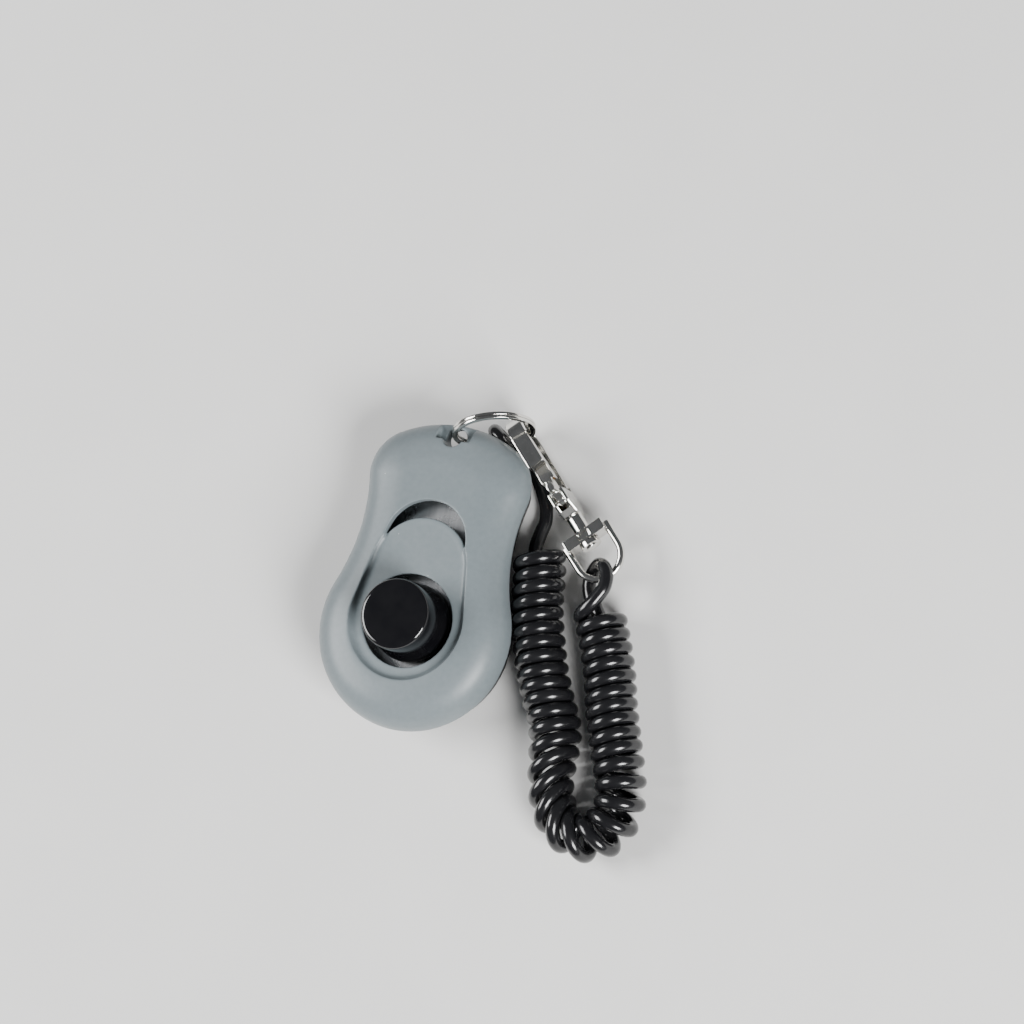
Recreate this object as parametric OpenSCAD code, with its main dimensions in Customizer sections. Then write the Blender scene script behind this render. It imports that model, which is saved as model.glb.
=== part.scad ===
// Clicker trainer with a curly wrist cord and a snap hook.
// It lies on its flat back at z = 0: +Z is towards the button, +Y towards the ring, +X to the right.
// The lanyard lies on the same surface, to the right of the case.

/* [Case] */
// Radius of the round end that holds the button
bulb_r = 20.5; // [20:0.1:20.8]
// Height of the parting line between the two shells
parting_z = 9; // [8.8:0.1:9.2]
// Height of the upper shell's crest above the table
crest_z = 17.3; // [17:0.1:17.8]
// Wall thickness of both shells
wall = 1.8; // [1.6:0.1:2]
// Depth of the shallow dish round the button
dish_depth = 1; // [0.8:0.1:1.2]

/* [Button] */
// Radius of the hole for the button
button_hole_r = 9.75; // [9.5:0.05:10]
// Radius of the button at its skirt
button_base_r = 8.2; // [8:0.1:8.4]
// Radius of the button at the edge of its top
button_top_r = 7.4; // [7:0.1:7.6]
// Height of the button's top above the table
button_top_z = 24; // [23.5:0.1:24.5]

/* [Click plate] */
// Thickness of the sprung steel plate
plate_t = 0.4; // [0.3:0.05:0.4]
// Underside of the plate at rest
plate_z = 11.2; // [11.1:0.1:11.3]

/* [Ring] */
// Mean radius of the split ring
ring_r = 8; // [7.95:0.05:8]
// Radius of the hole that the ring passes through
ring_hole_r = 2.25; // [2.2:0.05:2.3]

/* [Cord] */
// Diameter of the cord
cord_d = 2.9; // [2.8:0.1:2.9]
// Outer diameter of the curly part
coil_d = 11; // [10.8:0.1:11]

/* [Snap hook] */
// Thickness of the hook, across its flat sides
hook_t = 3.6; // [3.4:0.1:3.6]
// Diameter of the wire of the D-shaped bail
bail_wire_d = 1.5; // [1.4:0.1:1.5]

/* [Hidden] */
$fn = 64;
cut = 0.5;

// Case outline: five circles, each tangent to the next
bulb_c = [0, -32 + bulb_r];
shoulder_c = [7.85, 20.3];
shoulder_r = 9.7;
top_c = [0, 6.2];
top_r = 25.8;
waist_c = [55.2, 10.04];
bulb_end = atan2(waist_c.y - bulb_c.y, waist_c.x - bulb_c.x);
shoulder_start = atan2(waist_c.y - shoulder_c.y, waist_c.x - shoulder_c.x);
shoulder_end = atan2(shoulder_c.y - top_c.y, shoulder_c.x - top_c.x);
waist_r = norm(waist_c - bulb_c) - bulb_r;

// Points of one arc, each with the outward direction of the outline there
function arc(c, r, a, b, n, side = 1) =
    [for (i = [0 : n - 1]) let (t = a + (b - a) * i / n, d = [cos(t), sin(t)]) [c + r * d, side * d]];

// The right half of the outline, from the bottom to the top
half_outline = concat(
    arc(bulb_c, bulb_r, -90, bulb_end, 12),
    arc(waist_c, waist_r, 180 + bulb_end, 180 + shoulder_start, 7, -1),
    arc(shoulder_c, shoulder_r, shoulder_start, shoulder_end, 7),
    arc(top_c, top_r, shoulder_end, 90, 3),
    [[top_c + [0, top_r], [0, 1]]]
);
half_n = len(half_outline);
function mirrored(p) = [[-p[0].x, p[0].y], [-p[1].x, p[1].y]];
outline = concat(half_outline, [for (i = [half_n - 2 : -1 : 1]) mirrored(half_outline[i])]);
outline_n = len(outline);

// Edge profiles, each from the parting line: inset from the outline, and share of the shell's height
crest_h = crest_z - parting_z;
upper_outer = [[0, 0], [0, 0.18], [0.35, 0.42], [1.2, 0.62], [2.6, 0.78], [4.6, 0.9], [7.4, 0.975]];
upper_inner = [[wall, 0], [wall + 0.1, 0.3], [wall + 1.3, 0.55], [wall + 3.8, 0.68], [8.6, 0.75]];
lower_outer = [[1.5, 1], [2.3, 0.68], [2.8, 0.36], [2.9, 0.16], [3.3, 0.06], [4.4, 0]];
lower_inner = [[1.5 + wall, 1], [2.4 + wall, 0.66], [3.1 + wall, 0.3], [4.2 + wall, 0.2]];

// The top falls towards the ring end
function ease(t) = t * t * (3 - 2 * t);
function fall(y) = 1 - 0.2 * ease(min(1, max(0, (y + 2) / 32)));

function profile_ring(inset, h, sloped) =
    [for (p = outline) let (q = p[0] - inset * p[1])
        [q.x, q.y, sloped ? parting_z + h * crest_h * fall(q.y) : h * parting_z]];
function ring_quads(a, b, n) =
    [for (i = [0 : n - 1]) let (j = (i + 1) % n) [a * n + i, b * n + i, b * n + j, a * n + j]];
// Rungs across the outline, between each right-hand point and its mirror image
function ladder(a, n) =
    concat(
        [[a * n, a * n + 1, a * n + n - 1]],
        [for (i = [1 : n / 2 - 2]) [a * n + i, a * n + i + 1, a * n + n - i - 1, a * n + n - i]],
        [[a * n + n / 2 - 1, a * n + n / 2, a * n + n / 2 + 1]]
    );
function flip(faces) = [for (f = faces) [for (i = [len(f) - 1 : -1 : 0]) f[i]]];

// A closed shell: along one profile, across its end, and back along the other
module shell(outer, inner, sloped) {
    rows = concat(outer, [for (i = [len(inner) - 1 : -1 : 0]) inner[i]]);
    points = [for (row = rows) each profile_ring(row[0], row[1], sloped)];
    sides = [
        for (k = [0 : len(rows) - 1])
            if (k != len(outer) - 1) each ring_quads(k, (k + 1) % len(rows), outline_n)
    ];
    tops = concat(flip(ladder(len(outer) - 1, outline_n)), ladder(len(outer), outline_n));
    faces = concat(sides, tops);
    polyhedron(points, sloped ? faces : flip(faces), convexity = 8);
}

// Dish round the button, and the sound window above it
button_c = [0, -10.2];
dish_low_r = 11.8;
dish_high_c = [0, 1];
dish_high_r = 10;
window_c = [0, 6.2];
window_r = 8.9;
window_inner_r = 10.3;

// Button and plate
skirt_z = 13;
skirt_top_z = 17;
rim_r = 1;
cap_wall = 1.2;
cap_roof = 1.6;
stem_r = 1.5;
stem_shoulder_r = 2.3;
plate_top = plate_z + plate_t;
plate_gap = 0.17;
plate_head_c = [0, -9];
plate_head_r = 11.6;
clamp_places = [[-5, 18.5], [5, 18.5]];
clamp_w = 14.4;
bar_t = 1.3;
bar_top = plate_top + plate_gap + bar_t;
clamp_screw_r = 0.8;
clamp_screw_z = 5.5;
nut_t = 0.5;
nut_gap = 0.35;

// Case screws: two under the round end, two beside the ring notch
screw_places = [[8, -22.6], [-8, -22.6], [7.9, 23.4], [-7.9, 23.4]];
post_z = 4.6;
post_r = 1.7;
screw_r = 0.9;
screw_head_r = 1.5;
screw_head_z = 0.5;
screw_shank_h = 7.8;

// Ring notch: sloped floor in the upper shell, open slot in the lower shell
notch_w = 7.5;
notch_y = 28;
notch_z = 12.2;
notch_slope = 5;
hole_y = 28.9;
notch_low_w = 10.4;
notch_low_y = 25.8;
notch_wall = 1;
ring_c = [7.6, 31.9, 12.1];
ring_tilt = 82;
ring_turn = -69.5;
strand_h = 0.72;
strand_w = 1.1;
strand_gap = 0.06;

// Snap hook: its axis lies level, its flat sides stand upright
hook_c = [30.5, 14.4, 6.8];
hook_turn = 135;
band_s = 2.4;
band_w = 9.4;
arm_y = 4.9;
arm_s = 4.8;
band_h = 4.4;
neck_r = 1.2;
collar_r = 1.7;
washer_r = 2.15;
washer_t = 1;
run_gap = 0.05;
throat_c = [23.8, -0.4];
throat_r = 4.75;
nose_r = 6.15;
gate_pivot = [8.8, 1.7];
gate_boss_r = 1.3;
gate_tip_w = 3.2;
nub_s = 11.3;
nub_r = 0.9;
pin_r = 0.6;
cheek_t = 0.8;
spine_t = 2.4;
slot_z = -2.8;
spring_s = 10.7;
spring_z = -2.7;
spring_h = 2.9;
spring_r = 0.85;

// Cord routes
coil_z = coil_d / 2;
coil_route = [
    [20.9, 10, coil_z], [21.2, 7.6, coil_z], [21.8, 5.5, coil_z], [22.5, 1, coil_z], [23.3, -3, coil_z],
    [24.9, -8, coil_z], [27, -13.8, coil_z], [29.6, -19.2, coil_z], [32.3, -24.3, coil_z],
    [33.5, -29, coil_z], [34, -33.4, coil_z], [34.8, -37.5, coil_z], [36, -41.5, coil_z],
    [38.6, -44.7, coil_z], [42, -46.2, coil_z], [45.6, -45.6, coil_z], [48.5, -43, coil_z],
    [49.8, -39.3, coil_z], [49.5, -35.3, coil_z], [48.2, -31.3, coil_z], [46, -25.5, coil_z],
    [43.6, -19, coil_z], [41.7, -12.8, coil_z], [39.4, -6.9, coil_z], [36.8, -1.2, coil_z],
    [36.2, 0.4, coil_z]
];
ring_eye_route = [
    [21, 9.6, 5], [20.5, 13, 2.8], [19.2, 17, 1.6], [18, 20.5, 1.45], [15.8, 24.3, 1.45],
    [14.1, 26.3, 1.45], [12.3, 27.9, 1.45], [9.9, 29.5, 1.45], [7.6, 30.9, 1.45], [5.7, 32.2, 2.1],
    [4.9, 33, 4.2], [5.6, 32.6, 6.3], [7.4, 31.3, 7.1], [9.6, 29.9, 6.6], [11.3, 28.6, 5]
];
hook_eye_route = [
    [34.2, -0.2, 4.5], [33.5, 2.6, 4.5], [32.4, 5.1, 3.8], [32.7, 7.8, 4.5], [34.4, 9.1, 6.8],
    [36.4, 8.4, 9], [37.6, 5.9, 9.7], [37.3, 3.2, 9], [37.4, -0.2, 7]
];

// A tube swept along a route; ref never points along the route
function unit(v) = v / norm(v);
function direction(route, i) = unit(route[min(i + 1, len(route) - 1)] - route[max(i - 1, 0)]);
module swept_tube(route, r, sides, ref) {
    rows = len(route);
    points = [
        for (i = [0 : rows - 1])
            let (t = direction(route, i), a = unit(cross(ref, t)), b = cross(t, a))
                for (k = [0 : sides - 1]) route[i] + r * (cos(360 * k / sides) * a + sin(360 * k / sides) * b)
    ];
    walls = [for (i = [0 : rows - 2]) each ring_quads(i, i + 1, sides)];
    ends = [[for (k = [0 : sides - 1]) k], [for (k = [sides - 1 : -1 : 0]) (rows - 1) * sides + k]];
    polyhedron(points, concat(walls, ends), convexity = 8);
}

// Shapes that several nodes share
module at_each(places) {
    for (p = places) translate([p.x, p.y, 0]) children();
}
module egg() {
    hull() {
        translate(button_c) circle(dish_low_r, $fn = 96);
        translate(dish_high_c) circle(dish_high_r, $fn = 96);
    }
}
module crescent() {
    difference() {
        translate(window_c) circle(window_r);
        translate(dish_high_c) circle(window_inner_r);
    }
}
module hook_frame() {
    translate(hook_c) rotate([0, 0, hook_turn]) children();
}
// A flat plate of the hook, drawn along its axis and upwards
module hook_plate(width) {
    translate([0, width / 2, 0]) rotate([90, 0, 0]) linear_extrude(width) children();
}

module upper_shell() {
    color("slategray") difference() {
        union() {
            shell(upper_outer, upper_inner, true);
            // Solid ground behind the ring notch
            translate([-5, 26, parting_z]) cube([10, 3.6, 4.2]);
            translate([-4.4, 29, parting_z]) cube([8.8, 1.6, 3.4]);
            for (p = screw_places)
                translate([p.x, p.y, post_z]) cylinder(h = (p.y < 0 ? 15.9 : 14.6) - post_z, r = post_r);
        }
        // Dish, button hole and sound window
        translate([0, 0, crest_z - dish_depth - 0.2]) linear_extrude(4) egg();
        translate([0, button_c.y, parting_z + 1]) cylinder(h = 12, r = button_hole_r);
        translate([0, 0, parting_z + 1]) linear_extrude(12) crescent();
        // Ring notch and ring hole
        translate([-notch_w / 2, notch_y, notch_z]) rotate([-notch_slope, 0, 0]) cube([notch_w, 8, 6]);
        translate([0, hole_y, parting_z - cut]) cylinder(h = 8, r = ring_hole_r);
        // Pilot holes for the case screws
        at_each(screw_places) translate([0, 0, post_z - cut]) cylinder(h = 5.5 + cut, r = screw_r);
    }
}

module lower_shell() {
    wall_x = notch_low_w / 2 + notch_wall - 0.1;
    color([0.06, 0.06, 0.07]) difference() {
        union() {
            shell(lower_outer, lower_inner, false);
            // Walls of the ring notch
            translate([-wall_x, notch_low_y - 1.6, 1]) cube([2 * wall_x, 1.6, parting_z - 1]);
            for (x = [-wall_x, wall_x - notch_wall])
                translate([x, notch_low_y - 1, 1]) cube([notch_wall, 3.2, parting_z - 1]);
            // Posts for the case screws and for the plate clamp
            at_each(screw_places) translate([0, 0, 1]) cylinder(h = post_z - 1, r = 2.1);
            at_each(clamp_places) translate([0, 0, 1]) cylinder(h = plate_z - plate_gap - 1, r = 2.4);
        }
        translate([-notch_low_w / 2, notch_low_y, -cut]) cube([notch_low_w, 10, parting_z + 2 * cut]);
        at_each(screw_places) translate([0, 0, -cut]) cylinder(h = 2 + cut, r = 1.6);
        at_each(screw_places) translate([0, 0, 1]) cylinder(h = post_z, r = 1.1);
        at_each(clamp_places) translate([0, 0, clamp_screw_z - cut]) cylinder(h = 7, r = clamp_screw_r);
    }
}

module case_screws() {
    color("silver") at_each(screw_places) difference() {
        union() {
            translate([0, 0, screw_head_z]) cylinder(h = 1.5, r = screw_head_r);
            translate([0, 0, screw_head_z + 1]) cylinder(h = screw_shank_h, r = screw_r);
        }
        translate([0, 0, screw_head_z - 0.1]) cylinder(h = 0.8, r = 0.6, $fn = 6);
    }
}

module click_plate() {
    color("lightsteelblue") translate([0, 0, plate_z]) difference() {
        linear_extrude(plate_t) {
            translate(plate_head_c) circle(plate_head_r);
            polygon([[-11.5, -8], [11.5, -8], [10.5, 2], [9.5, 17], [-9.5, 17], [-10.5, 2]]);
            translate([-clamp_w / 2, 16]) square([clamp_w, 4.6]);
        }
        translate([0, button_c.y, -cut]) cylinder(h = 2, r = stem_r + 0.3);
        at_each(clamp_places) translate([0, 0, -cut]) cylinder(h = 2, r = clamp_screw_r + 0.5);
    }
}

module clamp_bar() {
    color("gainsboro") difference() {
        translate([-clamp_w / 2, clamp_places[0].y - 1.7, plate_top + plate_gap]) cube([clamp_w, 3.4, bar_t]);
        at_each(clamp_places) translate([0, 0, plate_top]) cylinder(h = 3, r = clamp_screw_r + 0.3);
    }
}

module clamp_screws() {
    color("silver") at_each(clamp_places) difference() {
        union() {
            translate([0, 0, clamp_screw_z]) cylinder(h = bar_top - clamp_screw_z + 0.2, r = clamp_screw_r);
            translate([0, 0, bar_top]) cylinder(h = 0.9, r = 1.7);
        }
        translate([-1.2, -0.2, bar_top + 0.5]) cube([2.4, 0.4, 1]);
    }
}

// Half section of the button: a hollow cap on a stem
module button_section() {
    difference() {
        union() {
            polygon([[0, skirt_z], [button_base_r, skirt_z], [button_base_r, skirt_top_z],
                [button_top_r, button_top_z - rim_r], [button_top_r - rim_r, button_top_z],
                [0, button_top_z]]);
            translate([button_top_r - rim_r, button_top_z - rim_r]) circle(rim_r);
        }
        polygon([[stem_shoulder_r, skirt_z - 1], [button_base_r - cap_wall, skirt_z - 1],
            [button_base_r - cap_wall - 0.1, skirt_top_z], [button_top_r - cap_roof, button_top_z - cap_roof],
            [stem_shoulder_r, button_top_z - cap_roof]]);
    }
    translate([0, plate_top + 0.2]) square([stem_shoulder_r, 3]);
    translate([0, plate_z - 1.4]) square([stem_r, 4]);
}

module button_cap() {
    color([0.03, 0.03, 0.04]) translate([0, button_c.y, 0]) rotate_extrude() button_section();
}

module push_nut() {
    color("silver") translate([0, button_c.y, plate_z - nut_gap - nut_t]) difference() {
        cylinder(h = nut_t, r = 3.2);
        translate([0, 0, -cut]) cylinder(h = 2, r = stem_r);
    }
}

module split_ring() {
    color("silver") translate(ring_c) rotate([0, ring_tilt, ring_turn]) rotate_extrude($fn = 96) {
        for (low = [strand_gap / 2, -strand_gap / 2 - strand_h])
            translate([ring_r - strand_w / 2, low]) square([strand_w, strand_h]);
        translate([ring_r - strand_w / 2 + 0.15, -0.1]) square([strand_w - 0.3, 0.2]);
    }
}

module coil_cord() {
    color([0.05, 0.05, 0.05]) swept_tube(coil_route, coil_d / 2, 12, [0, 0, 1]);
}

module ring_end_eye() {
    color([0.07, 0.07, 0.07]) swept_tube(ring_eye_route, cord_d / 2, 8, [0.56, 0.83, 0]);
}

module hook_end_eye() {
    color([0.07, 0.07, 0.07]) swept_tube(hook_eye_route, cord_d / 2, 8, [0.7, 0.12, -0.7]);
}

module bail() {
    color("silver") hook_frame() {
        difference() {
            translate([-band_s / 2, -band_w / 2, -band_h / 2]) cube([band_s, band_w, band_h]);
            translate([-5, 0, 0]) rotate([0, 90, 0]) cylinder(h = 10, r = neck_r + run_gap);
        }
        for (side = [-1, 1])
            translate([-arm_s, side * arm_y, 0]) rotate([0, 90, 0])
                cylinder(h = arm_s + band_s / 4, r = bail_wire_d / 2);
        translate([-arm_s, 0, 0]) rotate([0, 0, 90]) rotate_extrude(angle = 180)
            translate([arm_y, 0]) circle(bail_wire_d / 2);
    }
}

module swivel_washer() {
    color("silver") hook_frame() translate([-band_s / 2 - washer_t - 0.1, 0, 0])
        rotate([0, 90, 0]) difference() {
        cylinder(h = washer_t, r = washer_r);
        translate([0, 0, -cut]) cylinder(h = 3, r = neck_r);
    }
}

// Side view of the hook: back, nose and the two cheeks that hold the gate
module hook_side() {
    difference() {
        union() {
            translate(throat_c) circle(nose_r);
            polygon([[5, 2.2], [5, -2.2], [9, -5], [14, -6.3], [throat_c.x, -6.5], [throat_c.x, 5.7],
                [15, 5.7], [13, 4.2], [7.6, 4.2]]);
        }
        translate(throat_c) circle(throat_r);
        polygon([[11, -3], [14, -4.4], [throat_c.x, -4.9], [throat_c.x, 4.1], [17.2, 3.4], [17.2, 2.4],
            [11, 2]]);
        polygon([[10.6, 2], [17.2, 2], [17.2, 7], [10.6, 7]]);
    }
}

module hook_body() {
    color("silver") hook_frame() difference() {
        union() {
            hook_plate(hook_t) hook_side();
            translate([-band_s / 2 - washer_t - 0.4, 0, 0]) rotate([0, 90, 0]) cylinder(h = 8, r = neck_r);
            translate([band_s / 2 + 0.1, 0, 0]) rotate([0, 90, 0]) cylinder(h = 4.2, r = collar_r);
        }
        // The back narrows towards its lower edge
        for (y = [-hook_t, spine_t / 2]) translate([8, y, -8]) cube([24, hook_t - spine_t / 2, 4.3]);
        // Slot between the cheeks
        translate([6.4, -hook_t / 2 + cheek_t, slot_z]) cube([6, hook_t - 2 * cheek_t, 8]);
        translate([gate_pivot.x, 5, gate_pivot.y]) rotate([90, 0, 0]) cylinder(h = 10, r = pin_r);
    }
}

module gate_pin() {
    color("silver") hook_frame() translate([gate_pivot.x, hook_t / 2, gate_pivot.y])
        rotate([90, 0, 0]) cylinder(h = hook_t, r = pin_r);
}

module gate_spring() {
    color("darkorange") hook_frame() translate([spring_s, 0, spring_z]) difference() {
        cylinder(h = spring_h, r = spring_r);
        translate([0, 0, -cut]) cylinder(h = 5, r = 0.5);
    }
}

module gate_lever() {
    root_w = hook_t - 2 * cheek_t - 0.4;
    color("silver") hook_frame() difference() {
        union() {
            hook_plate(root_w) {
                translate(gate_pivot) circle(gate_boss_r);
                polygon([[8.6, 0.6], [11.4, 0.5], [18.3, 2], [18.3, 2.9], [10, 4.6], [8.6, 2.9]]);
            }
            hook_plate(gate_tip_w) polygon([[13.4, 1.5], [16.8, 2.4], [16.8, 3.2], [13.4, 3.9]]);
            translate([nub_s, 0, 3]) cylinder(h = 2.9, r = nub_r);
        }
        translate([gate_pivot.x, 5, gate_pivot.y]) rotate([90, 0, 0]) cylinder(h = 10, r = pin_r + run_gap);
    }
}

upper_shell();
lower_shell();
case_screws();
click_plate();
clamp_bar();
clamp_screws();
button_cap();
push_nut();
split_ring();
coil_cord();
ring_end_eye();
hook_end_eye();
bail();
swivel_washer();
hook_body();
gate_pin();
gate_spring();
gate_lever();
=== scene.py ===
"""The looks of the clicker trainer, its curly wrist cord and its snap hook, in the CAD model's frame."""

import math

import bmesh
import bpy
from mathutils import Matrix, Vector


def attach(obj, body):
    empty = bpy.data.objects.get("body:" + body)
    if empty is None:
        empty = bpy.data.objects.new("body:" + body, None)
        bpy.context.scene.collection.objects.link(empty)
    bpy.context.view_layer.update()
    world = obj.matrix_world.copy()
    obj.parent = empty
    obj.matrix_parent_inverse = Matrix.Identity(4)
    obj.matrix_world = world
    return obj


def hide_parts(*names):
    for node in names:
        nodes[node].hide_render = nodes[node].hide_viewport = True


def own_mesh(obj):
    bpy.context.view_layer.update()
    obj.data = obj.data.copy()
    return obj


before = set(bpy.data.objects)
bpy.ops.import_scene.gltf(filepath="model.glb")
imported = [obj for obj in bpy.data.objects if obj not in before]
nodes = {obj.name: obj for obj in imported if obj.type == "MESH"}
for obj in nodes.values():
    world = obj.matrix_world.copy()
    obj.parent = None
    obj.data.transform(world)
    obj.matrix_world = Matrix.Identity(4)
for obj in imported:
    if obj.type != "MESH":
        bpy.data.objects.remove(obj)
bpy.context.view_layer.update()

MM = 0.001

# ---------------------------------------------------------------- camera
# the picture's right and up in the row frame, and what it is centred on
IMAGE_RIGHT = Vector((0.9160, 0.2230, -0.3335))
IMAGE_UP = Vector((-0.1621, 0.9661, 0.2010))
LOOK_AT = Vector((13.6, 16.7, 7.4)) * MM
CAMERA_DISTANCE = 1.5
VIEW_WIDTH = 0.2091
SENSOR_WIDTH = 36


def make_camera():
    data = bpy.data.cameras.new("camera")
    camera = bpy.data.objects.new("camera", data)
    bpy.context.scene.collection.objects.link(camera)
    back = IMAGE_RIGHT.cross(IMAGE_UP).normalized()
    up = (IMAGE_UP - back * IMAGE_UP.dot(back)).normalized()
    right = up.cross(back)
    turned = Matrix((right, up, back)).transposed().to_4x4()
    camera.matrix_world = Matrix.Translation(LOOK_AT + back * CAMERA_DISTANCE) @ turned
    data.sensor_width = SENSOR_WIDTH
    data.lens = SENSOR_WIDTH * CAMERA_DISTANCE / VIEW_WIDTH
    data.clip_start = 0.05
    data.clip_end = 10
    bpy.context.scene.camera = camera


# ---------------------------------------------------------------- curves
def catmull(points, steps):
    """A smooth path through the points: a Catmull-Rom spline."""
    pts = [points[0] * 2 - points[1]] + list(points) + [points[-1] * 2 - points[-2]]
    path = []
    for i in range(1, len(pts) - 2):
        a, b, c, d = pts[i - 1], pts[i], pts[i + 1], pts[i + 2]
        for k in range(steps):
            t = k / steps
            path.append(0.5 * (2 * b + (c - a) * t + (2 * a - 5 * b + 4 * c - d) * t * t
                               + (3 * b - a - 3 * c + d) * t ** 3))
    path.append(points[-1].copy())
    return path


def bridge(before, after, steps=12):
    """The points between two paths, leaving one and meeting the other in their own directions."""
    a, b = before[-1], after[0]
    reach = 0.4 * (b - a).length
    leave = a + (a - before[-2]).normalized() * reach
    meet = b - (after[1] - b).normalized() * reach
    return [a * (1 - t) ** 3 + leave * 3 * t * (1 - t) ** 2 + meet * 3 * t * t * (1 - t) + b * t ** 3
            for t in (i / steps for i in range(1, steps))]


def lengths(path):
    """Distance along the path at each of its points."""
    total = [0.0]
    for a, b in zip(path, path[1:]):
        total.append(total[-1] + (b - a).length)
    return total


class Rail:
    """A path that is read by distance along it."""

    def __init__(self, path):
        self.path = path
        self.at = lengths(path)
        self.length = self.at[-1]

    def point(self, distance):
        distance = min(max(distance, 0.0), self.length)
        low, high = 0, len(self.at) - 1
        while high - low > 1:
            middle = (low + high) // 2
            if self.at[middle] <= distance:
                low = middle
            else:
                high = middle
        t = (distance - self.at[low]) / (self.at[high] - self.at[low])
        return self.path[low].lerp(self.path[high], t)


def ease(t):
    """From 0 to 1 with a soft start and a soft end."""
    t = min(max(t, 0.0), 1.0)
    return t * t * (3 - 2 * t)


# ---------------------------------------------------------------- cord
# lengths in millimetres; COIL_R goes to the middle of the wire, and COIL_Z is the height of the coil's axis
CORD_D = 2.9
COIL_R = 4.05
COIL_Z = 5.5
TURN_GAP = 2.93
POINTS_A_TURN = 28
# how far a turn leans along the coil before the bend, and how far it strays from its neighbours
FIRST_LEAN = 1.2
STRAY = 0.12
# where along the turns the bend lies, and how many turns it fans out
BEND_PLACE = 0.53
BEND_TURNS = 13
# what part of a turn is left out at the ring end and at the hook end
START_TURN, LAST_TURN = 0.2, 0.42
COIL_ROUTE = [
    (20.9, 10), (21.2, 7.6), (21.8, 5.5), (22.5, 1), (23.3, -3), (24.9, -8), (27, -13.8), (29.6, -19.2),
    (32.3, -24.3), (33.5, -29), (34, -33.4), (34.8, -37.5), (36, -41.5), (38.6, -44.7), (42, -46.2),
    (45.6, -45.6), (48.5, -43), (49.8, -39.3), (49.5, -35.3), (48.2, -31.3), (46, -25.5), (43.6, -19),
    (41.7, -12.8), (39.4, -6.9), (36.8, -1.2), (36.2, 0.4)]
RING_EYE = [
    (11.3, 28.6, 5), (9.6, 29.9, 6.6), (7.4, 31.3, 7.1), (5.6, 32.6, 6.3), (4.9, 33, 4.2), (5.7, 32.2, 2.1),
    (7.6, 30.9, 1.45), (9.9, 29.5, 1.45), (12.3, 27.9, 1.45), (14.1, 26.3, 1.45), (15.8, 24.3, 1.45),
    (18, 20.5, 1.45), (18.9, 17, 1.45), (18.5, 14.4, 1.5), (18.2, 12.4, 1.5)]
HOOK_EYE = [
    (36.8, 2.2, 10), (37.8, 4.4, 9.9), (37.6, 6.9, 9.4), (36.3, 8.8, 8.6), (34.4, 9.2, 6.8),
    (32.8, 7.8, 4.6), (32.3, 5.3, 3.9), (33.2, 2.9, 4.1), (34.8, 0.9, 4), (36.4, -1.4, 4.2)]


def coil_points():
    """The wire of the curly part. Each turn leans on the next along the inner side of the bend and fans
    out along the outer side, so the two sides are read from two rails with their own spacing."""
    centre = [Vector((x, y, COIL_Z)) for x, y in COIL_ROUTE]
    path = catmull(centre, 12)
    outer, inner = [], []
    for i, p in enumerate(path):
        t = (path[min(i + 1, len(path) - 1)] - path[max(i - 1, 0)]).normalized()
        side = Vector((t.y, -t.x, 0)) * COIL_R
        outer.append(p + side)
        inner.append(p - side)
    outer, inner = Rail(outer), Rail(inner)
    turns = round(inner.length / TURN_GAP)
    gap = inner.length / turns
    spare = outer.length - inner.length
    bend = BEND_PLACE * turns
    start, stop = START_TURN, turns - LAST_TURN
    count = int((stop - start) * POINTS_A_TURN)
    points = []
    for i in range(count + 1):
        turn = start + (stop - start) * i / count
        bent = ease((turn - bend) / BEND_TURNS + 0.5)
        a = outer.point(turn * gap + spare * bent + FIRST_LEAN / 2 * (1 - bent))
        b = inner.point(turn * gap - FIRST_LEAN / 2 * (1 - bent))
        angle = -2 * math.pi * turn
        stray = STRAY * math.sin(1.7 * math.floor(turn) + 0.6)
        middle = (a + b) / 2
        reach = (a - b).normalized() * COIL_R
        along = Vector((-reach.y, reach.x, 0)).normalized() * stray * math.sin(angle)
        point = middle + reach * math.cos(angle) + along
        point.z += COIL_R * math.sin(angle)
        points.append(point)
    return points


def make_cord(material):
    ring_end = catmull([Vector(p) for p in RING_EYE], 6)
    hook_end = catmull([Vector(p) for p in HOOK_EYE], 8)
    coil = coil_points()
    path = ring_end + bridge(ring_end, coil) + coil + bridge(coil, hook_end) + hook_end
    curve = bpy.data.curves.new("wrist_cord", "CURVE")
    curve.dimensions = "3D"
    curve.bevel_depth = CORD_D / 2 * MM
    curve.bevel_resolution = 5
    curve.use_fill_caps = True
    spline = curve.splines.new("POLY")
    spline.points.add(len(path) - 1)
    for point, p in zip(spline.points, path):
        point.co = (p.x * MM, p.y * MM, p.z * MM, 1)
    spline.use_smooth = True
    curve.materials.append(material)
    cord = bpy.data.objects.new("wrist_cord", curve)
    bpy.context.scene.collection.objects.link(cord)
    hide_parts("coil_cord", "ring_end_eye", "hook_end_eye")
    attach(cord, "lanyard")
    return cord, path


# ---------------------------------------------------------------- mesh helpers
def add_mesh(name, verts, faces):
    mesh = bpy.data.meshes.new(name)
    mesh.from_pydata([tuple(v) for v in verts], [], faces)
    mesh.update()
    thing = bpy.data.objects.new(name, mesh)
    bpy.context.scene.collection.objects.link(thing)
    bm = bmesh.new()
    bm.from_mesh(mesh)
    bmesh.ops.recalc_face_normals(bm, faces=bm.faces)
    bm.to_mesh(mesh)
    bm.free()
    return thing


def prism(outline, place, low, high):
    """A closed outline pushed from low to high; place turns (x, y, height) into a row frame point."""
    n = len(outline)
    verts = [place(x, y, h) for h in (low, high) for x, y in outline]
    faces = [list(range(n))[::-1], list(range(n, 2 * n))]
    faces += [[i, (i + 1) % n, n + (i + 1) % n, n + i] for i in range(n)]
    return add_mesh("prism", verts, faces)


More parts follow.
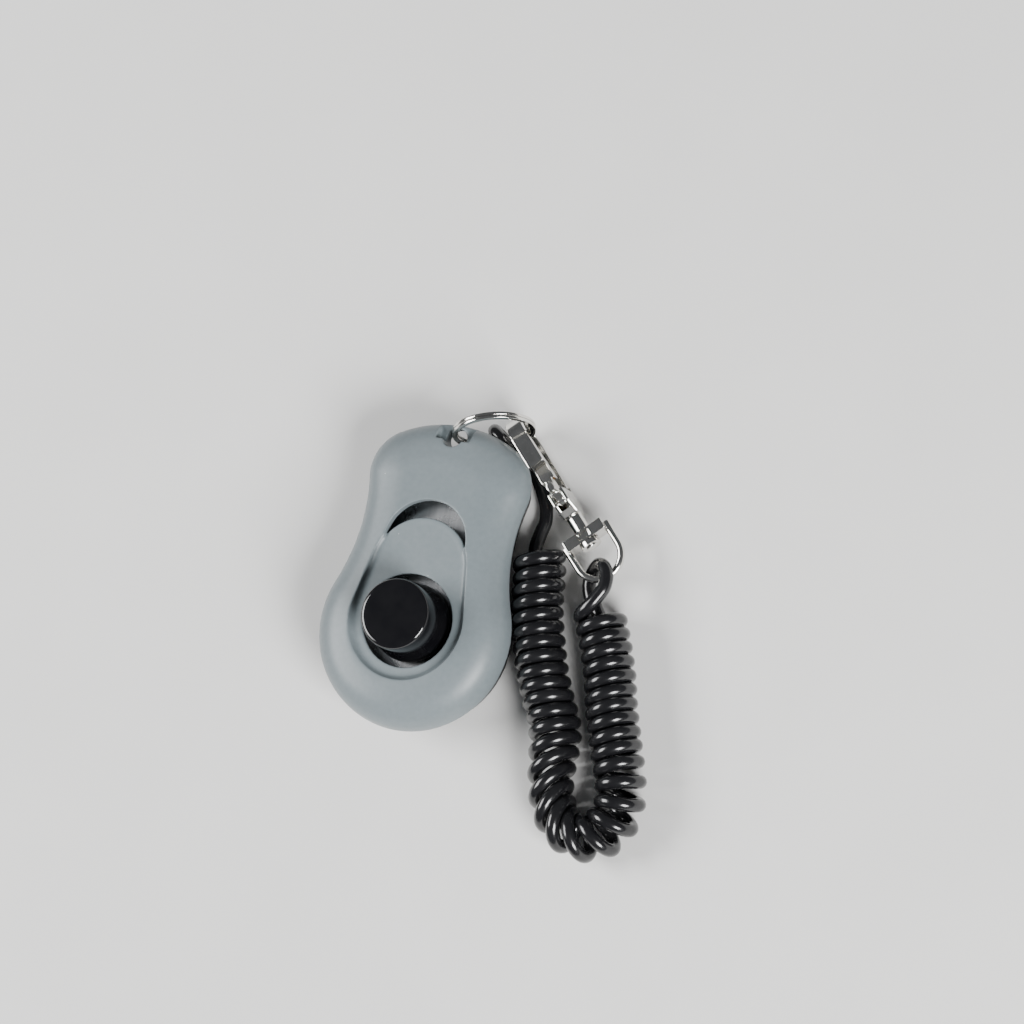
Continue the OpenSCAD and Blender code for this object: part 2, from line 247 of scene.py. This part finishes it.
def disc(radius, count, centre=(0, 0)):
    """The outline of a circle."""
    return [(centre[0] + radius * math.cos(2 * math.pi * i / count),
             centre[1] + radius * math.sin(2 * math.pi * i / count)) for i in range(count)]


def tube(path, radius, sides):
    """A round bar along a path, with flat ends; the radius is a number or a list, one for each point."""
    n = len(path)
    radii = radius if isinstance(radius, list) else [radius] * n
    side = None
    verts, faces = [], []
    for i, p in enumerate(path):
        t = (path[min(i + 1, n - 1)] - path[max(i - 1, 0)]).normalized()
        if side is None:
            side = t.cross(Vector((0, 0, 1)))
            if side.length < 0.1:
                side = t.cross(Vector((1, 0, 0)))
        side = (side - t * side.dot(t)).normalized()
        up = t.cross(side)
        for k in range(sides):
            a = 2 * math.pi * k / sides
            verts.append(p + (side * math.cos(a) + up * math.sin(a)) * radii[i])
    for i in range(n - 1):
        j = i + 1
        for k in range(sides):
            m = (k + 1) % sides
            faces.append([i * sides + k, i * sides + m, j * sides + m, j * sides + k])
    faces.append(list(range(sides)))
    faces.append([(n - 1) * sides + k for k in range(sides)][::-1])
    return add_mesh("tube", verts, faces)


def lathe(profile, centre, steps):
    """Turns (radius, height) pairs round the vertical through centre; a pair at radius 0 closes the end."""
    verts, faces, rings = [], [], []
    for r, z in profile:
        if r < 1e-6:
            rings.append([len(verts)])
            verts.append(Vector((0, 0, z)))
        else:
            rings.append([len(verts) + k for k in range(steps)])
            for k in range(steps):
                a = 2 * math.pi * k / steps
                verts.append(Vector((r * math.cos(a), r * math.sin(a), z)))
    for a, b in zip(rings, rings[1:]):
        for k in range(steps):
            m = (k + 1) % steps
            if len(a) == 1:
                faces.append([a[0], b[k], b[m]])
            elif len(b) == 1:
                faces.append([a[k], b[0], a[m]])
            else:
                faces.append([a[k], b[k], b[m], a[m]])
    return add_mesh("lathe", [v + Vector(centre) for v in verts], faces)


def join(things):
    """Puts the meshes into the first thing and drops the others."""
    bm = bmesh.new()
    for thing in things:
        bm.from_mesh(thing.data)
    first = things[0]
    bm.to_mesh(first.data)
    bm.free()
    for thing in things[1:]:
        bpy.data.objects.remove(thing)
    return first


def apply_modifiers(thing):
    """Makes what the modifiers show into the thing's own mesh."""
    bpy.context.view_layer.update()
    graph = bpy.context.evaluated_depsgraph_get()
    mesh = bpy.data.meshes.new_from_object(thing.evaluated_get(graph))
    thing.modifiers.clear()
    thing.data = mesh
    return thing


def remesh(thing, voxel, smoothing=0):
    """Fuses overlapping closed shapes into one skin, and softens its edges the way a mould does."""
    modifier = thing.modifiers.new("fuse", "REMESH")
    modifier.mode = "VOXEL"
    modifier.voxel_size = voxel
    if smoothing:
        modifier = thing.modifiers.new("soften", "SMOOTH")
        modifier.factor = 0.5
        modifier.iterations = smoothing
    return apply_modifiers(thing)


def cut(thing, cutters):
    """Takes the cutters' shapes out of the thing."""
    for cutter in cutters:
        modifier = thing.modifiers.new("cut", "BOOLEAN")
        modifier.operation = "DIFFERENCE"
        modifier.solver = "EXACT"
        modifier.object = cutter
    apply_modifiers(thing)
    for cutter in cutters:
        bpy.data.objects.remove(cutter)


def finish_piece(thing, name, body, slot, material, *replaced):
    """Brings a piece from millimetres to metres and gives it its name, looks and body."""
    thing.name = name
    thing.data.name = name
    thing.data.transform(Matrix.Scale(MM, 4))
    for polygon in thing.data.polygons:
        polygon.use_smooth = True
    thing.data.materials.clear()
    thing.data.materials.append(material)
    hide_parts(*replaced)
    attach(thing, body)
    return thing


def upright(x, y, z):
    return Vector((x, y, z))


# ---------------------------------------------------------------- case
# its outline: the wide end, the waist, the shoulders and the nearly flat ring end
BULB_C, BULB_R = Vector((0, -11.5)), 20.5
SHOULDER_C, SHOULDER_R = Vector((7.85, 20.3)), 9.7
TOP_C, TOP_R = Vector((0, 6.2)), 25.8
WAIST_C = Vector((55.2, 10.04))
PARTING_Z = 9.0
CREST_H = 8.3
BUTTON_C = (0, -10.2)
BUTTON_HOLE_R = 9.75
# the dish round the button: its floor, and the centre of its round end, which the crescent window shares
DISH_FLOOR_Z = 16.05
DISH_END_C = Vector((0, 1))
CRESCENT_C, CRESCENT_R = Vector((0, 6.2)), 8.9
# the notch and the hole that the split ring runs through
NOTCH_Y, NOTCH_Z, NOTCH_SLOPE = 28, 12.2, math.radians(-5)
NOTCH_W, NOTCH_L, NOTCH_H = 7.5, 8, 6
RING_HOLE = (0, 28.9, 2.25)
# the cuts from above end here, over everything
ABOVE = 20
SCREWS = [(8, -22.6), (-8, -22.6), (7.9, 23.4), (-7.9, 23.4)]
CLAMP_POSTS = [(-5, 18.5), (5, 18.5)]


def angle_of(v):
    return math.atan2(v.y, v.x)


def arc(centre, radius, a, b, count, side=1):
    """Points on an arc with their outward directions; side -1 is for a hollow stretch."""
    points = []
    for i in range(count):
        t = a + (b - a) * i / count
        d = Vector((math.cos(t), math.sin(t)))
        points.append((centre + d * radius, d * side))
    return points


def case_outline():
    """Points round the case, each with its outward direction, from the bottom up the right side."""
    bulb_end = angle_of(WAIST_C - BULB_C)
    shoulder_start = angle_of(WAIST_C - SHOULDER_C)
    shoulder_end = angle_of(SHOULDER_C - TOP_C)
    waist_r = (WAIST_C - BULB_C).length - BULB_R
    half = arc(BULB_C, BULB_R, -math.pi / 2, bulb_end, 48)
    half += arc(WAIST_C, waist_r, math.pi + bulb_end, math.pi + shoulder_start, 28, -1)
    half += arc(SHOULDER_C, SHOULDER_R, shoulder_start, shoulder_end, 28)
    half += arc(TOP_C, TOP_R, shoulder_end, math.pi / 2, 12)
    half.append((TOP_C + Vector((0, TOP_R)), Vector((0, 1))))
    mirror = [(Vector((-p.x, p.y)), Vector((-d.x, d.y))) for p, d in half[-2:0:-1]]
    return half + mirror


OUTLINE = case_outline()


def fall(y):
    """The share of the crest's height that is left at y: the top slopes down to the ring end."""
    return 1 - 0.2 * ease((y + 2) / 32)


def case_shell(outer, inner, sloped):
    """A closed shell along one edge profile, across its end, and back along the other.
    A profile holds (inset, share of height) pairs."""
    outer = catmull([Vector(p) for p in outer], 5)
    inner = catmull([Vector(p) for p in inner], 3)
    rows = outer + inner[::-1]
    n = len(OUTLINE)
    verts, faces = [], []
    for inset, share in rows:
        for p, d in OUTLINE:
            q = p - d * inset
            z = PARTING_Z + share * CREST_H * fall(q.y) if sloped else share * PARTING_Z
            verts.append(Vector((q.x, q.y, z)))
    for k in range(len(rows)):
        if k != len(outer) - 1:
            m = (k + 1) % len(rows)
            faces += [[k * n + i, m * n + i, m * n + (i + 1) % n, k * n + (i + 1) % n]
                      for i in range(n)]
    for k in (len(outer) - 1, len(outer)):
        first, half = k * n, n // 2
        faces.append([first, first + 1, first + n - 1])
        faces += [[first + i, first + i + 1, first + n - i - 1, first + n - i] for i in range(1, half - 1)]
        faces.append([first + half - 1, first + half, first + half + 1])
    return add_mesh("shell", verts, faces)


def block(x0, x1, y0, y1, z0, z1):
    return prism([(x0, y0), (x1, y0), (x1, y1), (x0, y1)], upright, z0, z1)


def peg(x, y, r, z0, z1):
    return prism(disc(r, 40, (x, y)), upright, z0, z1)


def egg_outline(grow):
    """The dish round the button: two circles and the lines that touch both."""
    low, high = Vector(BUTTON_C), DISH_END_C
    r_low, r_high = 11.8 + grow, 10 + grow
    lean = math.asin((r_low - r_high) / (high - low).length)
    right = [low + Vector((math.cos(a), math.sin(a))) * r_low
             for a in (-math.pi / 2 + (math.pi / 2 + lean) * i / 30 for i in range(31))]
    right += [high + Vector((math.cos(a), math.sin(a))) * r_high
              for a in (lean + (math.pi / 2 - lean) * i / 24 for i in range(25))]
    return [(p.x, p.y) for p in right] + [(-p.x, p.y) for p in right[-2:0:-1]]


def dish_cutter():
    """Its floor is flat and its wall slopes out softly towards the top."""
    levels = [(-1.0, DISH_FLOOR_Z), (-0.35, 16.1), (0.1, 16.35), (0.4, 16.75), (0.65, 17.1), (0.9, 19)]
    verts, faces = [], []
    for grow, z in levels:
        ring = egg_outline(grow)
        verts += [Vector((x, y, z)) for x, y in ring]
    n = len(ring)
    top = (len(levels) - 1) * n
    faces.append(list(range(n))[::-1])
    faces.append([top + i for i in range(n)])
    for k in range(0, top, n):
        faces += [[k + i, k + (i + 1) % n, k + n + (i + 1) % n, k + n + i] for i in range(n)]
    return add_mesh("dish", verts, faces)


def crescent_outline(inner_r):
    """The sound window: the part of the crescent's circle that is outside the inner one."""
    apart = 5.2
    tip = math.acos((inner_r ** 2 + apart ** 2 - CRESCENT_R ** 2) / (2 * inner_r * apart))
    inner_a = math.pi / 2 - tip
    corner = DISH_END_C + Vector((math.cos(inner_a), math.sin(inner_a))) * inner_r
    outer_a = angle_of(corner - CRESCENT_C)
    steps = 48
    points = [CRESCENT_C + Vector((math.cos(a), math.sin(a))) * CRESCENT_R
              for a in (outer_a + (math.pi - 2 * outer_a) * i / steps for i in range(steps + 1))]
    points += [DISH_END_C + Vector((math.cos(a), math.sin(a))) * inner_r
               for a in (math.pi - inner_a + (2 * inner_a - math.pi) * i / steps for i in range(1, steps))]
    return [(p.x, p.y) for p in points]


def notch_place(x, y, z):
    """From the notch's sloping floor to the row frame."""
    c, s = math.cos(NOTCH_SLOPE), math.sin(NOTCH_SLOPE)
    return Vector((x, NOTCH_Y + y * c - z * s, NOTCH_Z + y * s + z * c))


def make_upper_shell(material):
    outer = [(0, 0), (0, 0.18), (0.35, 0.42), (1.2, 0.62), (2.6, 0.78), (4.6, 0.9), (7.4, 0.975),
             (9.2, 0.995)]
    inner = [(1.8, 0), (1.9, 0.3), (3.1, 0.55), (5.6, 0.68), (8.6, 0.75)]
    parts = [case_shell(outer, inner, True)]
    # the thick ground under the notch, in two steps
    parts.append(block(-5, 5, 26, 29.6, PARTING_Z, 13.2))
    parts.append(block(-4.4, 4.4, 29, 30.6, PARTING_Z, 12.4))
    # the posts that the case screws bite into, up to the skin
    parts += [peg(x, y, 1.7, 4.6, 15.9 if y < 0 else 14.6) for x, y in SCREWS]
    shell = remesh(join(parts), 0.2)
    half_w = NOTCH_W / 2
    notch = prism([(-half_w, 0), (half_w, 0), (half_w, NOTCH_L), (-half_w, NOTCH_L)], notch_place,
                  0, NOTCH_H)
    cutters = [dish_cutter(), notch, prism(crescent_outline(10.3), upright, PARTING_Z + 1, ABOVE)]
    # levels the foot of the dish's wall beside the window
    cutters.append(prism(crescent_outline(9.6), upright, 16.08, ABOVE))
    cutters.append(peg(*BUTTON_C, BUTTON_HOLE_R, PARTING_Z + 1, ABOVE))
    cutters.append(peg(*RING_HOLE, PARTING_Z - 1, 16))
    cutters += [peg(x, y, 0.9, 4, 10) for x, y in SCREWS]
    cut(shell, cutters)
    remesh(shell, 0.17, smoothing=7)
    return finish_piece(shell, "upper_shell_skin", "clicker", "case_grey", material, "upper_shell")


def make_lower_shell(material):
    outer = [(1.5, 1), (2.3, 0.68), (2.8, 0.36), (2.9, 0.16), (3.3, 0.06), (4.4, 0)]
    inner = [(3.3, 1), (4.2, 0.66), (4.9, 0.3), (6, 0.2)]
    parts = [case_shell(outer, inner, False)]
    # the back wall and the side walls of the bay that the ring swings in
    parts.append(block(-6.1, 6.1, 24.2, 25.8, 1, PARTING_Z))
    parts += [block(x, x + 1, 24.8, 28, 1, PARTING_Z) for x in (-6.1, 5.1)]
    parts += [peg(x, y, 2.1, 1, 4.6) for x, y in SCREWS]
    parts += [peg(x, y, 2.4, 1, 11.03) for x, y in CLAMP_POSTS]
    shell = remesh(join(parts), 0.25)
    # the bay, the screws' head wells and holes, and the pilot holes in the clamp posts
    cutters = [block(-5.2, 5.2, 25.8, 36, -1, 10)]
    cutters += [peg(x, y, 1.6, -1, 2) for x, y in SCREWS]
    cutters += [peg(x, y, 1.1, 1, 6) for x, y in SCREWS]
    cutters += [peg(x, y, 0.8, 5, 12) for x, y in CLAMP_POSTS]
    cut(shell, cutters)
    remesh(shell, 0.25, smoothing=2)
    return finish_piece(shell, "lower_shell_skin", "clicker", "case_black", material, "lower_shell")


def rounded(profile, radius, steps):
    """Rounds the corners of an open (radius, height) profile."""
    points = [Vector(p) for p in profile]
    result = [points[0]]
    for a, b, c in zip(points, points[1:], points[2:]):
        back, on = (a - b), (c - b)
        reach = min(radius, back.length * 0.48, on.length * 0.48)
        start, stop = b + back.normalized() * reach, b + on.normalized() * reach
        for i in range(steps + 1):
            t = i / steps
            result.append(start * (1 - t) ** 2 + b * 2 * t * (1 - t) + stop * t * t)
    result.append(points[-1])
    return [(p.x, p.y) for p in result]


def make_button(material):
    """A hollow cap with the stem that runs down through the plate."""
    crown = [(0, 24), (3, 23.99), (5.4, 23.95)]
    wall = [(5.6, 23.94), (7.3, 23.8), (7.75, 18), (8.2, 14), (8.2, 13), (7, 13)]
    hollow = [(7, 13), (6.95, 17), (6.1, 22.3), (2.3, 22.4)]
    stem = [(2.3, 11.8), (1.5, 11.8), (1.5, 9.8), (0, 9.8)]
    outside = crown + rounded(wall, 1.3, 10)
    inside = rounded(hollow + stem, 0.2, 3)
    cap = lathe(outside + inside[1:], (*BUTTON_C, 0), 128)
    return finish_piece(cap, "button_body", "button", "button_black", material, "button_cap")


# ---------------------------------------------------------------- split ring
RING_C = Vector((7.6, 31.9, 12.1))
RING_R = 8.0
RING_TILT, RING_TURN = math.radians(82), math.radians(-69.5)
# half the height between the two turns, and how much of a turn the wire takes to cross over
RING_LEVEL = 0.37
RING_CROSSING = 0.14


def ring_place(x, y, z):
    """From the ring's own plane to the row frame."""
    c, s = math.cos(RING_TILT), math.sin(RING_TILT)
    a = Vector((c * x + s * z, y, c * z - s * x))
    c, s = math.cos(RING_TURN), math.sin(RING_TURN)
    return RING_C + Vector((c * a.x - s * a.y, s * a.x + c * a.y, a.z))


def make_split_ring(material):
    """One flat wire wound twice: it crosses from one level to the other over a short stretch."""
    # half the wire's width and height, and the radius of its edges
    half_w, half_h, edge = 0.55, 0.34, 0.16
    section = []
    for cx, cy, start in ((half_w - edge, half_h - edge, 0), (edge - half_w, half_h - edge, 90),
                          (edge - half_w, edge - half_h, 180), (half_w - edge, edge - half_h, 270)):
        section += [(cx + edge * math.cos(math.radians(start + 30 * i)),
                     cy + edge * math.sin(math.radians(start + 30 * i))) for i in range(4)]
    steps = 260
    verts, faces = [], []
    n = len(section)
    for i in range(steps + 1):
        turn = 2.0 * i / steps
        level = RING_LEVEL * (2 * ease((turn - 0.93) / RING_CROSSING) - 1)
        a = 2 * math.pi * turn + 0.6
        for u, v in section:
            r = RING_R + u
            verts.append(ring_place(r * math.cos(a), r * math.sin(a), level + v))
    for i in range(steps):
        faces += [[i * n + k, i * n + (k + 1) % n, (i + 1) * n + (k + 1) % n, (i + 1) * n + k]
                  for k in range(n)]
    faces.append(list(range(n))[::-1])
    faces.append([steps * n + k for k in range(n)])
    ring = add_mesh("ring", verts, faces)
    return finish_piece(ring, "split_ring_wire", "ring", "nickel", material, "split_ring")


# ---------------------------------------------------------------- snap hook
HOOK_C = Vector((30.5, 14.4, 6.8))
HOOK_TURN = math.radians(135)
HOOK_ALONG = Vector((math.cos(HOOK_TURN), math.sin(HOOK_TURN), 0))
HOOK_ACROSS = Vector((math.sin(HOOK_TURN), -math.cos(HOOK_TURN), 0))
# places on the hook's side: the middle of its round end, and the gate's pin
THROAT = (23.8, -0.4)
PIVOT = (8.8, 1.7)
PLATE_HALF = 1.8
# a cut this far to each side goes right through
THROUGH = 5
# the gate's spring: its place along the hook, the level of its foot, and its height
SPRING_AT, SPRING_LOW, SPRING_H = 10.7, -2.7, 2.9


def hook_point(s, h, t=0.0):
    """s runs along the hook from its swivel band, h up, and t across its flat sides."""
    return HOOK_C + HOOK_ALONG * s + HOOK_ACROSS * t + Vector((0, 0, h))


def hook_plan(s, t, h):
    return hook_point(s, h, t)


def rod(s0, s1, radius):
    """A round bar on the hook's axis."""
    return tube([hook_point(s0, 0), hook_point(s1, 0)], radius, 32)


def make_bail(material):
    """A D of round wire with thicker ends, and the band between them that the hook's stem turns in."""
    arm_t, arm_s, wire_r = 4.9, 4.8, 0.75
    path, radii = [], []
    for i in range(7):
        s = 0.4 - (arm_s + 0.4) * i / 7
        path.append(hook_point(s, 0, arm_t))
        radii.append(wire_r + 0.15 * ease(1 + s / 3))
    for i in range(41):
        a = math.pi / 2 - math.pi * i / 40
        path.append(hook_point(-arm_s - arm_t * math.cos(a), 0, arm_t * math.sin(a)))
        radii.append(wire_r)
    for i in range(1, 8):
        s = -arm_s + (arm_s + 0.4) * i / 7
        path.append(hook_point(s, 0, -arm_t))
        radii.append(wire_r + 0.15 * ease(1 + s / 3))
    wire = tube(path, radii, 20)
    # from and to along the hook, across it and up: two sides, the floor, and the top with its shallow slot
    blocks = [(-1.2, 1.2, 1.3, 4.7, -2.2, 2.2), (-1.2, 1.2, -4.7, -1.3, -2.2, 2.2),
              (-1.2, 1.2, -1.4, 1.4, -2.2, -1.3), (-1.2, -0.65, -1.4, 1.4, 1.3, 2.2),
              (0.65, 1.2, -1.4, 1.4, 1.3, 2.2), (-0.7, 0.7, -1.4, 1.4, 1.3, 1.6)]
    band = [prism([(s0, t0), (s1, t0), (s1, t1), (s0, t1)], hook_plan, h0, h1)
            for s0, s1, t0, t1, h0, h1 in blocks]
    bail = remesh(join([wire] + band), 0.11, smoothing=3)
    return finish_piece(bail, "bail_loop", "bail", "nickel", material, "bail")


def make_hook(material):
    """A flat casting with a round stem and collar, cut out for the throat, the mouth and the gate."""
    side = [(5, 2.2), (5, -2.2), (9, -5), (14, -6.3), (THROAT[0], -6.5), (THROAT[0], 5.7), (15.6, 5.7),
            (13, 4.2), (7.6, 4.2)]
    plates = [prism(outline, hook_point, -PLATE_HALF, PLATE_HALF)
              for outline in (side, disc(6.15, 72, THROAT))]
    plates += [rod(-2.6, 5.6, 1.2), rod(1.3, 5.5, 1.7)]
    body = remesh(join(plates), 0.15)
    throat = [(11, -3), (14, -4.4), (THROAT[0], -5.1), (THROAT[0], 4.3), (17.2, 3.4), (17.2, 2.4), (11, 2)]
    mouth = [(10.6, 2), (17.2, 2), (17.2, 7), (10.6, 7)]
    cutters = [prism(outline, hook_point, -THROUGH, THROUGH)
               for outline in (disc(4.75, 72, THROAT), throat, mouth)]
    # the slot between the cheeks, and the pin's hole
    cutters.append(prism([(6.4, -2.8), (12.4, -2.8), (12.4, 6), (6.4, 6)], hook_point, -1, 1))
    cutters.append(prism(disc(0.6, 32, PIVOT), hook_point, -THROUGH, THROUGH))
    # the lower edge is thinner than the rest, from both sides
    lower_edge = [(8, -8), (32, -8), (32, -3.7), (8, -3.7)]
    cutters += [prism(lower_edge, hook_point, low, high) for low, high in ((1.2, 4), (-4, -1.2))]
    cut(body, cutters)
    remesh(body, 0.13, smoothing=3)
    return finish_piece(body, "hook_casting", "hook", "nickel", material, "hook_body")


def make_gate(material):
    """The lever: a narrow root between the cheeks, a wider tip, and the oval nub for the thumb."""
    root = [(8.6, 0.6), (11.4, 0.5), (18.3, 2), (18.3, 2.9), (10, 4.6), (8.6, 2.9)]
    tip = [(13.4, 1.5), (18.3, 2.2), (18.3, 2.9), (13.4, 3.9)]
    root_half, tip_half = 0.8, 1.6
    parts = [prism(outline, hook_point, -root_half, root_half) for outline in (root, disc(1.3, 40, PIVOT))]
    parts.append(prism(tip, hook_point, -tip_half, tip_half))
    nub = [(11.3 + 1.15 * x, 0.85 * y) for x, y in disc(1, 32)]
    parts.append(prism(nub, hook_plan, 3, 5.7))
    lever = remesh(join(parts), 0.11)
    cut(lever, [prism(disc(0.65, 32, PIVOT), hook_point, -3, 3)])
    remesh(lever, 0.11, smoothing=3)
    return finish_piece(lever, "gate_thumb_lever", "gate", "nickel", material, "gate_lever")


def make_spring(material):
    turns, radius, wire = 6.5, 0.68, 0.16
    turn_points = 20
    path = []
    for i in range(int(turns * turn_points) + 1):
        a = 2 * math.pi * i / turn_points
        h = SPRING_LOW + wire + (SPRING_H - 2 * wire) * i / (turns * turn_points)
        path.append(hook_point(SPRING_AT + radius * math.cos(a), h, radius * math.sin(a)))
    spring = tube(path, wire, 8)
    finish_piece(spring, "gate_spring_coil", "hook", "brass_spring", material, "gate_spring")
    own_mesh(spring)
    return spring


# ---------------------------------------------------------------- materials
# how deep the fine texture is, in metres
BUMP_DEPTH = 0.00002


def new_material(name):
    material = bpy.data.materials.new(name)
    material.use_nodes = True
    tree = material.node_tree
    return material, tree, tree.nodes["Principled BSDF"]


def noise(tree, scale, detail=4.0, stretch=None):
    """Cloudy values from 0 to 1 that stay with the piece."""
    coord = tree.nodes.new("ShaderNodeTexCoord")
    mapping = tree.nodes.new("ShaderNodeMapping")
    if stretch:
        mapping.inputs["Scale"].default_value = stretch
    tree.links.new(coord.outputs["Object"], mapping.inputs["Vector"])
    texture = tree.nodes.new("ShaderNodeTexNoise")
    texture.inputs["Scale"].default_value = scale
    texture.inputs["Detail"].default_value = detail
    tree.links.new(mapping.outputs["Vector"], texture.inputs["Vector"])
    return texture.outputs["Fac"]


def ramp(tree, value, low, high, colours):
    """A colour between two, as the value goes from low to high."""
    node = tree.nodes.new("ShaderNodeValToRGB")
    node.color_ramp.elements[0].position = low
    node.color_ramp.elements[1].position = high
    node.color_ramp.elements[0].color = (*colours[0], 1)
    node.color_ramp.elements[1].color = (*colours[1], 1)
    tree.links.new(value, node.inputs["Fac"])
    return node.outputs["Color"]


def spread(tree, value, low, high):
    """Brings a value from 0 to 1 into the range from low to high."""
    node = tree.nodes.new("ShaderNodeMapRange")
    node.inputs["To Min"].default_value = low
    node.inputs["To Max"].default_value = high
    tree.links.new(value, node.inputs["Value"])
    return node.outputs["Result"]


def bump(tree, shader, value, strength):
    node = tree.nodes.new("ShaderNodeBump")
    node.inputs["Strength"].default_value = strength
    node.inputs["Distance"].default_value = BUMP_DEPTH
    tree.links.new(value, node.inputs["Height"])
    tree.links.new(node.outputs["Normal"], shader.inputs["Normal"])


def surface(name, colours, rough, scale, metallic=0.0, stretch=None, bump_strength=0.3, coat=0.0):
    """A plain moulded, plated or rolled surface: faint colour change, uneven gloss and a fine texture."""
    material, tree, shader = new_material(name)
    shader.inputs["Metallic"].default_value = metallic
    shader.inputs["Coat Weight"].default_value = coat
    shader.inputs["Coat Roughness"].default_value = 0.05
    value = noise(tree, scale, stretch=stretch)
    tree.links.new(ramp(tree, value, 0.35, 0.65, colours), shader.inputs["Base Color"])
    broad = noise(tree, scale / 6, 3)
    tree.links.new(spread(tree, broad, rough[0], rough[1]), shader.inputs["Roughness"])
    bump(tree, shader, noise(tree, scale * 3, stretch=stretch), bump_strength)
    return material


def math_node(tree, operation, first, second):
    """One sum on two values; the second is a number or another node's output."""
    node = tree.nodes.new("ShaderNodeMath")
    node.operation = operation
    tree.links.new(first, node.inputs[0])
    if isinstance(second, float):
        node.inputs[1].default_value = second
    else:
        tree.links.new(second, node.inputs[1])
    return node.outputs[0]


def soft_touch_grey():
    """Matte soft-touch plastic with a fine grain and a few specks of dust."""
    material, tree, shader = new_material("soft_touch_grey")
    base = ramp(tree, noise(tree, 900), 0.3, 0.7, [(0.150, 0.180, 0.192), (0.166, 0.196, 0.208)])
    coord = tree.nodes.new("ShaderNodeTexCoord")
    cells = tree.nodes.new("ShaderNodeTexVoronoi")
    cells.inputs["Scale"].default_value = 420
    tree.links.new(coord.outputs["Object"], cells.inputs["Vector"])
    # a speck is the middle of a cell, and only the few cells of a light colour have one
    near = math_node(tree, "LESS_THAN", cells.outputs["Distance"], 0.035)
    rare = math_node(tree, "GREATER_THAN", cells.outputs["Color"], 0.8)
    speck = math_node(tree, "MULTIPLY", near, rare)
    mix = tree.nodes.new("ShaderNodeMix")
    mix.data_type = "RGBA"
    tree.links.new(speck, mix.inputs["Factor"])
    tree.links.new(base, mix.inputs["A"])
    mix.inputs["B"].default_value = (0.55, 0.56, 0.55, 1)
    tree.links.new(mix.outputs["Result"], shader.inputs["Base Color"])
    tree.links.new(spread(tree, noise(tree, 60, 3), 0.36, 0.44), shader.inputs["Roughness"])
    shader.inputs["Specular IOR Level"].default_value = 0.45
    shader.inputs["Sheen Weight"].default_value = 0.06
    bump(tree, shader, noise(tree, 5000, 2), 0.25)
    return material


# ---------------------------------------------------------------- stage
def area_light(name, place, aim, width, height, power):
    data = bpy.data.lights.new(name, "AREA")
    data.shape = "RECTANGLE"
    data.size = width
    data.size_y = height
    data.energy = power
    light = bpy.data.objects.new(name, data)
    light.location = place
    light.rotation_euler = (Vector(aim) - Vector(place)).to_track_quat("-Z", "Y").to_euler()
    bpy.context.scene.collection.objects.link(light)


def make_stage():
    """A pale floor and two soft boxes, with faint light from all round."""
    half = 3.0
    floor = add_mesh("floor", [(-half, -half, 0), (half, -half, 0), (half, half, 0), (-half, half, 0)],
                     [[0, 1, 2, 3]])
    material, tree, shader = new_material("pale_floor")
    tree.links.new(ramp(tree, noise(tree, 30), 0.3, 0.7, [(0.76, 0.755, 0.74), (0.79, 0.785, 0.77)]),
                   shader.inputs["Base Color"])
    shader.inputs["Roughness"].default_value = 0.7
    floor.data.materials.append(material)
    world = bpy.data.worlds.new("studio")
    world.use_nodes = True
    background = world.node_tree.nodes["Background"]
    background.inputs["Color"].default_value = (0.9, 0.94, 1, 1)
    background.inputs["Strength"].default_value = 0.12
    bpy.context.scene.world = world
    middle = (0.02, 0, 0)
    area_light("left_box", (-0.85, -0.1, 0.75), middle, 0.7, 0.5, 18.0)
    area_light("right_box", (0.85, -0.5, 0.7), middle, 0.5, 0.5, 28.0)


# ---------------------------------------------------------------- build
make_camera()
cord_black = surface("cord_black", [(0.006, 0.006, 0.007), (0.010, 0.010, 0.011)], (0.16, 0.24), 300,
                     coat=0.2, bump_strength=0.1)
cord, cord_path = make_cord(cord_black)

nickel = surface("bright_nickel", [(0.70, 0.685, 0.65), (0.78, 0.765, 0.73)], (0.08, 0.18), 500,
                 metallic=1.0)
steel = surface("rolled_steel", [(0.50, 0.51, 0.52), (0.62, 0.63, 0.64)], (0.2, 0.34), 700, metallic=1.0,
                stretch=(1, 0.06, 1), bump_strength=0.5)
zinc = surface("zinc_plate", [(0.62, 0.63, 0.62), (0.72, 0.73, 0.73)], (0.25, 0.4), 600, metallic=1.0)
brass = surface("spring_brass", [(0.72, 0.36, 0.12), (0.80, 0.45, 0.18)], (0.15, 0.3), 800, metallic=1.0)
satin_black = surface("satin_black", [(0.012, 0.012, 0.013), (0.018, 0.018, 0.019)], (0.26, 0.36), 500)
gloss_black = surface("gloss_black", [(0.004, 0.004, 0.005), (0.006, 0.006, 0.007)], (0.05, 0.10), 250,
                      bump_strength=0.05, coat=0.2)
grey = soft_touch_grey()

make_upper_shell(grey)
make_lower_shell(satin_black)
make_button(gloss_black)
ring = make_split_ring(nickel)
bail = make_bail(nickel)
hook = make_hook(nickel)
gate = make_gate(nickel)
spring = make_spring(brass)

# the pieces that keep the shape they have in the CAD model
CAD_LOOKS = {"case_screws": zinc, "clamp_screws": zinc, "clamp_bar": zinc, "click_plate": steel,
             "push_nut": steel, "swivel_washer": nickel, "gate_pin": nickel}
for name, material in CAD_LOOKS.items():
    nodes[name].data.materials.clear()
    nodes[name].data.materials.append(material)

make_stage()
